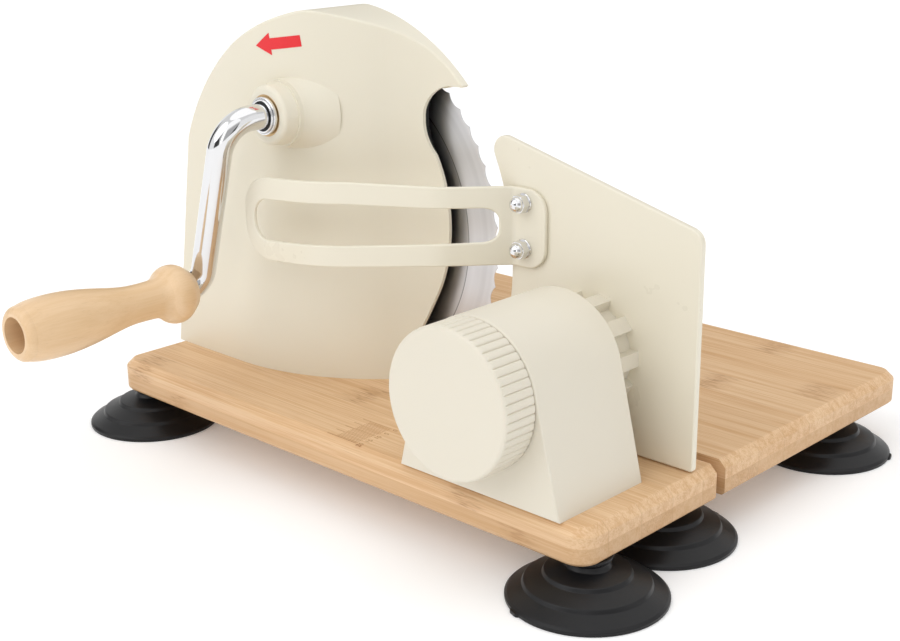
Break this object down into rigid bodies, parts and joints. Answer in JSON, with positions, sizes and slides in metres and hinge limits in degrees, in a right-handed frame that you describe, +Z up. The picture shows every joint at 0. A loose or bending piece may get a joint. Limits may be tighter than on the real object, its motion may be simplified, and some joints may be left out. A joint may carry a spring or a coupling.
{
  "type": "hand-cranked rotary food slicer",
  "caption": "Hand-cranked rotary slicer: bent crank and gears turn a round serrated knife in a cream hood, with a knob-set guide plate, on a slotted bamboo board with suction cups.",
  "frame": {"origin": "centre of the plan box, on the counter under the suction cups", "axes": "+X along the board towards the guide plate, +Y from the crank side to the food side, +Z up"},
  "size_m": [0.3226, 0.314, 0.1952],
  "materials": {
    "bamboo": "laminated bamboo, lightly oiled, satin",
    "turned_beech": "turned wood, clear lacquer, satin",
    "black_rubber": "soft black rubber with a slight sheen",
    "cream_plastic": "fine-textured moulded plastic, satin",
    "cream_enamel": "powder coat on sheet metal, satin",
    "black_plastic": "moulded plastic, matte",
    "blade_steel": "stainless steel, ground in rings",
    "bright_chrome": "bright plated",
    "zinc_steel": "zinc plated steel",
    "bush_bronze": "sintered bronze",
    "white_nylon": "natural nylon",
    "red_label": "printed label, satin"
  },
  "bodies": {
    "base": {"bamboo_board": "bamboo", "suction_cups": "black_rubber", "cup_screws": "zinc_steel", "foot_screws": "zinc_steel", "block_screws": "zinc_steel", "housing_shell": "cream_plastic", "chassis_plate": "black_plastic", "case_screws": "zinc_steel", "direction_arrow": "red_label", "crank_front_bush": "bush_bronze", "crank_rear_bush": "bush_bronze", "blade_front_bush": "bush_bronze", "blade_rear_bush": "bush_bronze", "control_block": "cream_plastic"},
    "crank": {"crank_tube": "bright_chrome", "crank_shaft": "zinc_steel", "drive_gear": "white_nylon", "gear_clip": "zinc_steel", "crank_collar": "bright_chrome", "handle_washer": "zinc_steel", "handle_bolt": "zinc_steel"},
    "handle": {"wooden_handle": "turned_beech"},
    "blade": {"blade_disc": "blade_steel", "blade_shaft": "zinc_steel", "blade_hub": "zinc_steel", "blade_pinion": "white_nylon", "blade_cap": "blade_steel", "blade_nut": "bright_chrome"},
    "knob": {"thickness_knob": "cream_plastic", "lead_screw": "white_nylon", "stem_clip": "zinc_steel"},
    "plate": {"guide_plate": "cream_enamel", "plate_drum": "cream_plastic", "drum_screws": "zinc_steel", "slice_arm": "cream_enamel", "arm_screws": "zinc_steel", "acorn_nuts": "bright_chrome"}
  },
  "joints": [
    {"name": "crank_turn", "type": "hinge", "parent": "base", "child": "crank", "pos_m": [-0.061, -0.0645, 0.1515], "axis": [0, 1, 0], "continuous": true},
    {"name": "handle_spin", "type": "hinge", "parent": "crank", "child": "handle", "pos_m": [-0.0834, -0.114, 0.0761], "axis": [0, 1, 0], "continuous": true},
    {"name": "blade_turn", "type": "hinge", "parent": "base", "child": "blade", "pos_m": [-0.061, 0.0115, 0.0973], "axis": [0, 1, 0], "continuous": true},
    {"name": "plate_slide", "type": "slide", "parent": "base", "child": "plate", "axis": [0, 1, 0], "range_m": [-0.003, 0.014]},
    {"name": "knob_turn", "type": "hinge", "parent": "base", "child": "knob", "pos_m": [0.088, -0.0725, 0.0712], "axis": [0, 1, 0], "range_deg": [-55, 253]}
  ],
  "couplings": [
    {"joint": "blade_turn", "follows": "crank_turn", "ratio": -1.4828},
    {"joint": "knob_turn", "follows": "plate_slide", "rad_per_m": 314.16}
  ]
}
